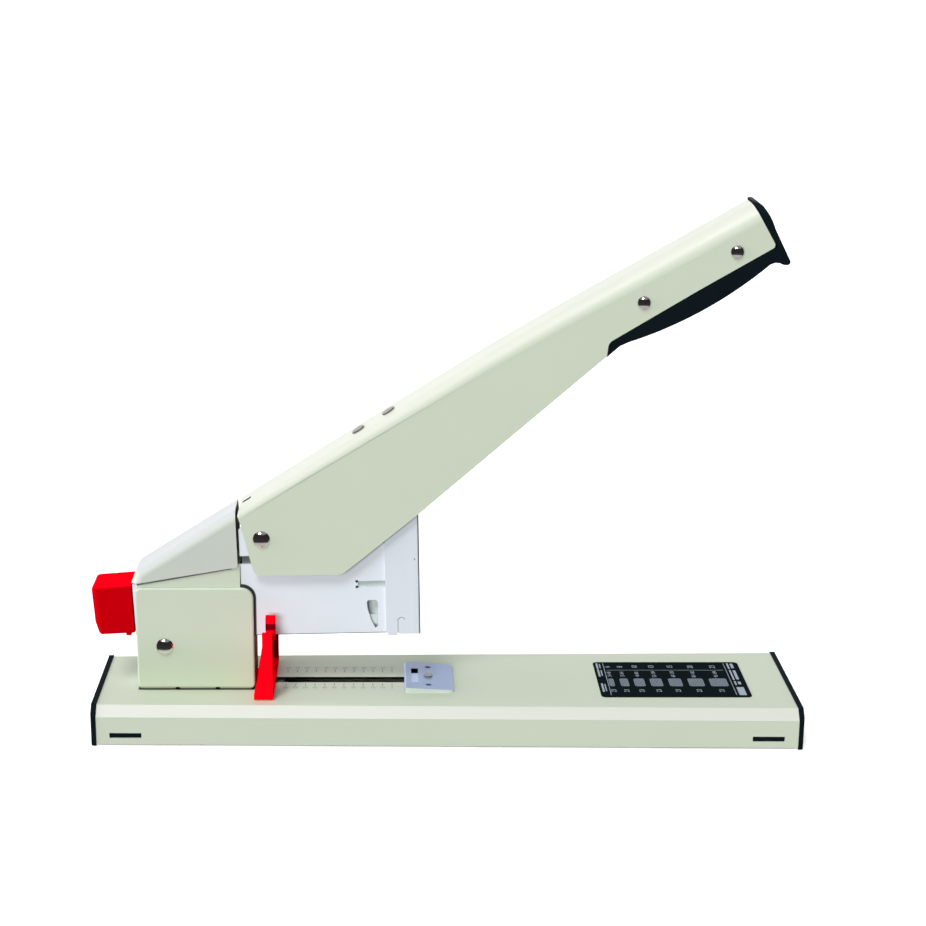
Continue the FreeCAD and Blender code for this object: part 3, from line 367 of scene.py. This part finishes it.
def tint_details():
    """Painted shade and painted highlights on many parts, with a lighter die floor on the anvil."""
    x, y, z, near = AXIS_X, AXIS_Y, AXIS_Z, TOWARDS_NEAR
    # Painted shade: the walls of the throat slot painted near black, as the shade inside the slot.
    tint(BASE_PAINT, (3, 4, 4), ("Object", y, 0.0042, 0.0041), ("Object", near, 0.0042, 0.0041),
         ("Object", z, BASE_TOP - 0.00005, BASE_TOP - 0.0001))
    low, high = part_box("tower")
    wide = high.y
    # Painted highlight: faces turned up and towards the front, the base's front bevel, painted a
    # paler, more neutral sage.
    tint(BASE_PAINT, (201, 205, 196), ("Normal", near, 0.3, 0.5), ("Normal", z, 0.3, 0.5))
    # Painted shade: a dark olive band on the base top just round the tower's foot, as its contact
    # shadow.
    tint(BASE_PAINT, (92, 98, 78),
         ("Object", x, low.x - 0.0004, low.x + 0.0004),
         ("Object", x, high.x + 0.0004, high.x - 0.0004),
         ("Object", near, wide + 0.0007, wide + 0.0002),
         ("Object", y, wide + 0.0007, wide + 0.0002))
    # Painted shade: the base top under the tower painted near black, seen only through the tower's
    # notches.
    tint(BASE_PAINT, (8, 9, 8),
         ("Object", x, low.x, low.x + 0.0003), ("Object", x, high.x, high.x - 0.0003),
         ("Object", near, wide - 0.0001, wide - 0.0003),
         ("Object", y, wide - 0.0001, wide - 0.0003))
    # Painted sheen: the handle's up-facing faces painted a greyer, less green sage, for the white
    # top light on them.
    tint(PAINT, (198, 201, 190), ("Normal", z, 0.2, 0.5))
    # Painted sheen: the cover's up-facing faces painted a greyer, less green tone, for the top
    # light on them.
    tint(COVER, (187, 191, 192), ("Normal", z, 0.35, 0.6))
    # Painted shade: a near-black patch across the middle of the handle shell near its rear end, as
    # the shade in a slot.
    tint(PAINT, (38, 40, 38), ("Object", x, -0.1037, -0.1035), ("Object", x, -0.0992, -0.0994),
         ("Object", y, -0.0017, -0.00155), ("Object", near, -0.0017, -0.00155))
    # Painted shade: the tower darker towards the base, as less light reaches its lower part.
    tint(TOWER_PAINT, (184, 197, 171), ("Object", z, 0.052, 0.022))
    # Painted shade: a dark line along the tower's bottom edge, as the contact shadow on the base.
    tint(TOWER_PAINT, (78, 85, 68), ("Object", z, BASE_TOP + 0.0020, BASE_TOP + 0.0005))
    # Painted shade: near black at the back of the notches in the tower's foot.
    tint(TOWER_PAINT, (20, 22, 20), ("Object", z, BASE_TOP + 0.0020, BASE_TOP + 0.0016),
         ("Object", y, -0.0133, -0.0129))
    # Painted light: the frame's near face behind the tower's rear edge painted pale lilac, as light
    # on a strip that lies in shade.
    tint(FRAME_PAINT, (226, 222, 234), ("Object", x, -0.1572, -0.1576),
         ("Normal", near, 0.5, 0.8))
    # Painted shade: the inner face of the frame's far wall painted near black.
    tint(FRAME_PAINT, (24, 28, 27), ("Object", y, 0.004, 0.006), ("Normal", near, 0.5, 0.8),
         ("Object", x, -0.1560, -0.1555))
    tint(ANVIL, (184, 204, 236), ("Object", x, -0.0175, -0.0173), ("Object", x, -0.0137, -0.0139),
         ("Object", y, -0.0107, -0.0104), ("Object", y, 0.0056, 0.0052))
    # Painted shade: a dark blue line along the near edge of the die recess.
    tint(ANVIL, (84, 100, 148), ("Object", x, -0.0175, -0.0173), ("Object", x, -0.0137, -0.0139),
         ("Object", y, -0.0109, -0.0107), ("Object", y, -0.0088, -0.0094))
    # Painted shade: the far end of the die recess painted near black, as a deep hole.
    tint(ANVIL, (10, 12, 14), ("Object", x, -0.0177, -0.0176), ("Object", x, -0.0134, -0.0135),
         ("Object", y, 0.0050, 0.0054), ("Object", z, 0.0229, 0.0228))
    # Painted highlight: the anvil's near edge faces painted pale.
    tint(ANVIL, (212, 224, 216), ("Normal", near, 0.4, 0.7), ("Object", near, 0.016, 0.0165))
    along = (math.cos(RAIL_TILT), 0, math.sin(RAIL_TILT))
    upright = (-math.sin(RAIL_TILT), 0, math.cos(RAIL_TILT))
    # Painted reflection: the rounded front corners of the nose painted dark grey, as the dark
    # surroundings they reflect.
    for side in (near, y):
        tint(GUIDE_PLATING, (96, 106, 116), ("Object", along, -0.01265, -0.0122),
             ("Normal", side, 0.02, 0.1))
    # Painted shade: a dark line along the housing's bottom edge.
    tint(HOUSING_PLATING, (82, 90, 96), ("Object", upright, 0.0520, 0.0517))
    # Painted shadow: a dark strip on the housing just beside the tower's front edge, as the tower's
    # shadow.
    tint(HOUSING_PLATING, (70, 80, 82), ("Object", x, -0.0967, -0.0971),
         ("Object", z, 0.0702, 0.0698))
    # Painted shadow: a dark arc on the housing round the tower's top front corner.
    tint(HOUSING_PLATING, (50, 60, 62), centre=(-0.1042, 0, 0.0699), reach=(0.0074, 0.0071))
    # Painted shade: the inner face of the paper guide's far leg painted dark red.
    tint(BRIGHT_RED, (112, 0, 14), ("Normal", near, 0.5, 0.8), ("Object", y, 0.013, 0.015))
    # Painted shade: a dark red band across the paper guide's lug, just above the tops of the legs.
    tint(BRIGHT_RED, (112, 0, 14), ("Object", z, 0.0592, 0.0588), ("Object", z, 0.0555, 0.0558),
         ("Object", y, -0.0203, -0.0201), ("Object", near, 0.0190, 0.0192))


# ------------------------------------------------------------------ springs

def make_springs():
    """Coils of the head's lift spring, the follower's spring and the handle's return spring."""
    low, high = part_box("lift_spring")
    x = (low.x + high.x) / 2
    wire = 0.00065  # radius of the wire
    points = coil((x, 0, low.z + wire), (x, 0, high.z - wire), 0.00455, 8)
    lift = new_piece("lift_spring_coil", "base", SPRING,
                     tube_mesh("lift_spring_coil", points, wire), ["lift_spring"])
    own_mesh(lift)

    wire = 0.00035
    start = on_rail((-0.1572 + wire, 0, 0.061))
    end = on_rail((-0.0365 - wire, 0, 0.061))
    points = coil(start, end, 0.00255, 25, steps=14)
    push = new_piece("pusher_spring_coil", "magazine", SPRING,
                     tube_mesh("pusher_spring_coil", points, wire, 8), ["pusher_spring"])
    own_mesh(push)

    wire = 0.0007
    pin = Vector((-0.0935, 0, 0.1022))
    half = Vector((0, 0.0054 - wire, 0))
    points = coil(pin - half, pin + half, 0.0055, 6, closed=0.1)
    new_piece("handle_spring_coil", "head", SPRING,
              tube_mesh("handle_spring_coil", points, wire), ["handle_spring"])


# --------------------------------------------------------------------- grip

def make_grip():
    """Handhold and end cap of the handle, with softly rounded edges."""
    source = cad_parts["handle_grip"]
    mesh = source.data.copy()
    form = bmesh.new()
    form.from_mesh(mesh)
    bmesh.ops.remove_doubles(form, verts=form.verts, dist=1e-6)
    bmesh.ops.dissolve_limit(form, angle_limit=math.radians(FLAT_EDGE), verts=form.verts,
                             edges=form.edges)
    form.to_mesh(mesh)
    form.free()
    grip = new_piece("handhold", "handle", BLACK, mesh, ["handle_grip"])
    round_edges(grip, 1.2, segments=3)


def make_pins():
    """Hinge pins with the wide domed heads that are pressed on at assembly."""
    for name, node_name, body, shank, seat, wider in (
            ("hinge_pin", "pivot_pin", "base", 0.0030, 0.0135, 1.13),
            ("lever_pin", "handle_pin", "head", 0.0025, 0.0146, 1.13)):
        low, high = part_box(node_name)
        middle = (low + high) / 2
        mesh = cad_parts[node_name].data.copy()
        for vertex in mesh.vertices:
            away = Vector((vertex.co.x - middle.x, 0, vertex.co.z - middle.z))
            outside = abs(vertex.co.y) > seat + 0.0001
            if outside or (away.length > shank + 0.0002 and abs(vertex.co.y) > seat - 0.0001):
                vertex.co += away * (wider - 1)
        new_piece(name, body, POLISHED, mesh, [node_name])


def make_knob():
    """Drawer knob, widely rounded along the two upright edges that the thumb meets, and its lug."""
    low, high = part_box("magazine_knob")
    outline = [(-0.1595, 0.0509), (-0.1604, 0.0769), (-0.1813, 0.0752), (-0.1799, 0.0563),
               (-0.1780, 0.0499)]
    # Rounding, in millimetres, across the knob at each corner, and along each side after it.
    across = (0.2, 0.4, 1.6, 0.0, 1.5)
    along = (0.3, 1.3, 3.4, 3.4, 1.0)
    widest = max(along)
    form = bmesh.new()
    weight = form.edges.layers.float.new("bevel_weight_edge")
    near = [form.verts.new((x, low.y, z)) for x, z in outline]
    far = [form.verts.new((x, high.y, z)) for x, z in outline]
    form.faces.new(near)
    form.faces.new(far[::-1])
    count = len(outline)
    for index in range(count):
        after = (index + 1) % count
        form.faces.new((near[index], far[index], far[after], near[after]))
        form.edges.get((near[index], far[index]))[weight] = across[index] / widest
        for ring in (near, far):
            form.edges.get((ring[index], ring[after]))[weight] = along[index] / widest
    bmesh.ops.recalc_face_normals(form, faces=form.faces)
    lug = bmesh.ops.create_cube(form, size=1.0)["verts"]
    bmesh.ops.scale(form, vec=(0.0026, 0.0228, 0.0024), verts=lug)
    bmesh.ops.translate(form, vec=(-0.1626, 0, low.z + 0.0012), verts=lug)
    mesh = bpy.data.meshes.new("drawer_knob")
    form.to_mesh(mesh)
    form.free()
    knob = new_piece("drawer_knob", "magazine", RED, mesh, ["magazine_knob"])
    # Painted light: the knob's up-facing faces take the brighter red, as its top catches more light
    # than its sides.
    knob.data.materials.append(BRIGHT_RED)
    for face in knob.data.polygons:
        face.material_index = 1 if face.normal.z > 0.7 else 0
    rounding = knob.modifiers.new("edges", "BEVEL")
    rounding.width = widest / 1000
    rounding.segments = 6
    rounding.limit_method = "WEIGHT"
    rounding.harden_normals = True


# ------------------------------------------------------------------- prints

def text_mesh(text, size, place, turn=0.0):
    """Flat mesh of a few figures, centred on a place of the top face."""
    curve = bpy.data.curves.new("figures", "FONT")
    curve.body = text
    curve.size = size
    curve.align_x = "CENTER"
    curve.align_y = "CENTER"
    holder = bpy.data.objects.new("figures", curve)
    mesh = bpy.data.meshes.new_from_object(holder)
    bpy.data.objects.remove(holder)
    mesh.transform(Matrix.Translation(place) @ Matrix.Rotation(turn, 4, "Z"))
    return mesh


def bar(form, x0, x1, y0, y1, z):
    """One printed rectangle."""
    corners = [(x0, y0), (x1, y0), (x1, y1), (x0, y1)]
    form.faces.new([form.verts.new((x, y, z)) for x, y in corners])


def print_piece(name, body, look, form, figures):
    """One printed layer: bars and figures in a single thin mesh."""
    for mesh in figures:
        form.from_mesh(mesh)
    mesh = bpy.data.meshes.new(name)
    form.to_mesh(mesh)
    form.free()
    return new_piece(name, body, look, mesh)


def make_scale():
    """Throat scale: two rows of ticks, 5 mm apart, with a small figure at each."""
    z = BASE_TOP + PRINT_LIFT
    form = bmesh.new()
    figures = []
    for index in range(12):
        x = -0.0824 + 0.005 * index
        bar(form, x - 0.00018, x + 0.00018, -0.0092, -0.0056, z)
        bar(form, x - 0.00018, x + 0.00018, 0.0100, 0.0140, z)
        number = "%d" % (60 - 5 * index)
        figures.append(text_mesh(number, 0.0026, Vector((x, -0.0112, z))))
        figures.append(text_mesh(number, 0.0026, Vector((x, 0.0162, z))))
    print_piece("throat_scale", "base", SCALE_INK, form, figures)


WIRE_PITCH = 0.0008  # from one drawn staple wire to the next, in the chart


def make_label_print():
    """Staple-size chart: one block for each leg length, with figures over and under it."""
    z = LABEL_TOP + PRINT_LIFT
    form, blocks = bmesh.new(), bmesh.new()
    figures = []
    # Start and end of each block, in millimetres, and the staple leg length under it.
    places = ((85.6, 88.5), (91.5, 96.0), (98.8, 104.4), (107.2, 113.6), (116.9, 123.8),
              (127.1, 135.2), (138.2, 147.5))
    sizes = (6, 8, 10, 13, 15, 20, 23)
    for (start, end), size in zip(places, sizes):
        start, end = start / 1000, end / 1000
        count = round((end - start) / WIRE_PITCH)
        pitch = (end - start) / count
        for index in range(count):
            wire = start + pitch * index
            bar(blocks, wire, wire + 0.78 * pitch, -0.0090, 0.0002, z)
        bar(blocks, start + 0.0006, end - 0.0006, 0.0002, 0.0008, z)
        bar(blocks, start + 0.0006, end - 0.0006, -0.0096, -0.0090, z)
        middle = (start + end) / 2
        figures.append(text_mesh("%d" % size, 0.0042, Vector((middle, 0.0172, z)), math.pi / 2))
        sheets = "%d-%d" % (size * 4, size * 8)
        figures.append(text_mesh(sheets, 0.0030, Vector((middle, 0.0068, z)), math.pi / 2))
        figures.append(text_mesh("23", 0.0038, Vector((middle, -0.0155, z)), math.pi / 2))
    bar(form, 0.0860, 0.1478, 0.0123, 0.0126, z)
    bar(form, 0.0849, 0.0852, -0.0212, 0.0220, z)
    bar(form, 0.1492, 0.1495, -0.0212, 0.0220, z)
    for low, high in ((0.0143, 0.0222), (0.0034, 0.0135), (-0.0171, -0.0058)):
        bar(form, 0.0812, 0.0822, low, high, z)
        bar(form, 0.0829, 0.0835, low + 0.001, high - 0.001, z)
    for low, high in ((0.0143, 0.0222), (-0.0013, 0.0127), (-0.0081, -0.0028)):
        bar(form, 0.1509, 0.1518, low, high, z)
        bar(form, 0.1527, 0.1542, low + 0.001, high - 0.0006, z)
    bar(form, 0.1508, 0.1546, -0.0215, -0.0108, z)
    print_piece("label_print", "base", PRINT, form, figures)
    print_piece("label_blocks", "base", BLOCK_INK, blocks, [])


# ------------------------------------------------------------ room and view

def ramp(tree, value, stops):
    """Grey levels at places between 0 and 1, with even slopes between them."""
    made = node(tree, "ShaderNodeValToRGB")
    elements = made.color_ramp.elements
    while len(elements) < len(stops):
        elements.new(0.5)
    for element, (place, level) in zip(elements, stops):
        element.position = place
        element.color = (level, level, level, 1.0)
    link(tree, value, made.inputs["Fac"])
    return made.outputs["Color"]


def make_shade():
    """Dark card on the floor under the base, where hardly any light gets in."""
    low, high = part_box("base_shell")
    form = bmesh.new()
    inset, level = 0.0015, 0.0002
    ends = ((low.x + inset, 0.0380 - inset), (high.x - inset, 0.0430 - inset))
    corners = [(ends[0][0], -ends[0][1]), (ends[1][0], -ends[1][1]), (ends[1][0], ends[1][1]),
               (ends[0][0], ends[0][1])]
    form.faces.new([form.verts.new((x, y, level)) for x, y in corners])
    mesh = bpy.data.meshes.new("floor_shade")
    form.to_mesh(mesh)
    form.free()
    card = bpy.data.objects.new("floor_shade", mesh)
    bpy.context.scene.collection.objects.link(card)
    card.data.materials.append(SHADE)


def make_backdrop():
    """White wall far round the object, so that low views end in the same white as the floor."""
    mesh = bpy.data.meshes.new("backdrop")
    form = bmesh.new()
    bmesh.ops.create_cone(form, cap_ends=False, segments=64, radius1=9, radius2=9, depth=12)
    form.to_mesh(mesh)
    form.free()
    wall = bpy.data.objects.new("backdrop", mesh)
    bpy.context.scene.collection.objects.link(wall)
    wall.visible_diffuse = False
    wall.visible_glossy = False
    wall.visible_transmission = False
    wall.visible_shadow = False
    wall.data.materials.append(
        surface("backdrop_paper", (255, 255, 255), 0.9, shift=0.004, patch=2, grain=40, relief=1e-5,
                specular=0.0))
    wall.data.materials[0].cycles.emission_sampling = "NONE"
    shader = wall.data.materials[0].node_tree.nodes["Principled BSDF"]
    shader.inputs["Emission Color"].default_value = (1.0, 1.0, 1.0, 1.0)
    shader.inputs["Emission Strength"].default_value = 1.0


def make_room():
    """Pale floor, the cards around the object, and soft light from all sides."""
    mesh = bpy.data.meshes.new("floor")
    form = bmesh.new()
    bmesh.ops.create_grid(form, x_segments=1, y_segments=1, size=20)
    form.to_mesh(mesh)
    form.free()
    floor = bpy.data.objects.new("floor", mesh)
    bpy.context.scene.collection.objects.link(floor)
    floor.visible_diffuse = False
    floor.visible_glossy = False
    floor.data.materials.append(
        surface("pale_floor", (255, 255, 255), 0.7, shift=0.004, patch=2, grain=40, relief=1e-5,
                specular=0.2))
    shader = floor.data.materials[0].node_tree.nodes["Principled BSDF"]
    shader.inputs["Emission Color"].default_value = (1.0, 1.0, 1.0, 1.0)
    shader.inputs["Emission Strength"].default_value = 0.5
    make_shade()
    make_backdrop()

    world = bpy.data.worlds.new("studio")
    bpy.context.scene.world = world
    world.use_nodes = True
    tree = world.node_tree
    background = tree.nodes["Background"]
    direction = node(tree, "ShaderNodeTexCoord").outputs["Generated"]
    split = node(tree, "ShaderNodeSeparateXYZ")
    link(tree, direction, split.inputs["Vector"])
    height = node(tree, "ShaderNodeMath", operation="MULTIPLY_ADD")
    height.inputs[1].default_value = 0.5
    height.inputs[2].default_value = 0.5
    link(tree, split.outputs["Z"], height.inputs[0])
    front = ramp(tree, height.outputs["Value"],
                 ((0.0, 0.25), (0.17, 0.25), (0.24, 0.02), (0.80, 0.01), (0.86, 0.14), (1.0, 0.14)))
    back = ramp(tree, height.outputs["Value"],
                ((0.0, 0.25), (0.49, 0.16), (0.50, 0.8), (0.64, 0.8), (0.75, 0.14), (1.0, 0.14)))
    depth = ramp(tree, split.outputs["Y"], ((0.0, 0.0), (0.15, 1.0)))
    blend = node(tree, "ShaderNodeMix", data_type="RGBA")
    link(tree, depth, blend.inputs["Factor"])
    link(tree, front, blend.inputs["A"])
    link(tree, back, blend.inputs["B"])
    link(tree, blend.outputs["Result"], background.inputs["Color"])
    background.inputs["Strength"].default_value = 2.0


def make_sun(name, towards, strength, spread_angle, glossy=True):
    """Distant soft light that stands in the given direction, spread over so many degrees."""
    light = bpy.data.lights.new(name, "SUN")
    light.energy = strength
    light.angle = math.radians(spread_angle)
    lamp = bpy.data.objects.new(name, light)
    lamp.rotation_euler = (-Vector(towards)).to_track_quat("-Z", "Y").to_euler()
    lamp.visible_glossy = glossy
    bpy.context.scene.collection.objects.link(lamp)


def make_camera():
    """Camera of the rest view, a little above the object and level with its long side."""
    camera = bpy.data.cameras.new("camera")
    camera.sensor_width = 36
    camera.lens = 75.40
    camera.shift_x = 0.0806
    camera.clip_start = 0.05
    camera.clip_end = 60
    holder = bpy.data.objects.new("camera", camera)
    holder.location = (-0.02933, -0.94525, 0.40690)
    holder.rotation_euler = (math.radians(90 - 15.858), 0, 0)
    bpy.context.scene.collection.objects.link(holder)
    bpy.context.scene.camera = holder


tint_details()
make_springs()
make_grip()
make_pins()
make_knob()
make_scale()
make_label_print()
for name, width in EDGE_ROUNDING.items():
    round_edges(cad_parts[name], width)
make_room()
make_sun("front_key", (-0.28, -0.93, 0.18), 2.32, 32, glossy=False)
make_sun("top_key", (-0.25, -0.48, 0.84), 1.60, 20)
make_sun("left_wash", (-0.90, 0.0, 0.14), 2.9, 40, glossy=False)
make_camera()
bpy.context.scene.view_settings.view_transform = "Standard"
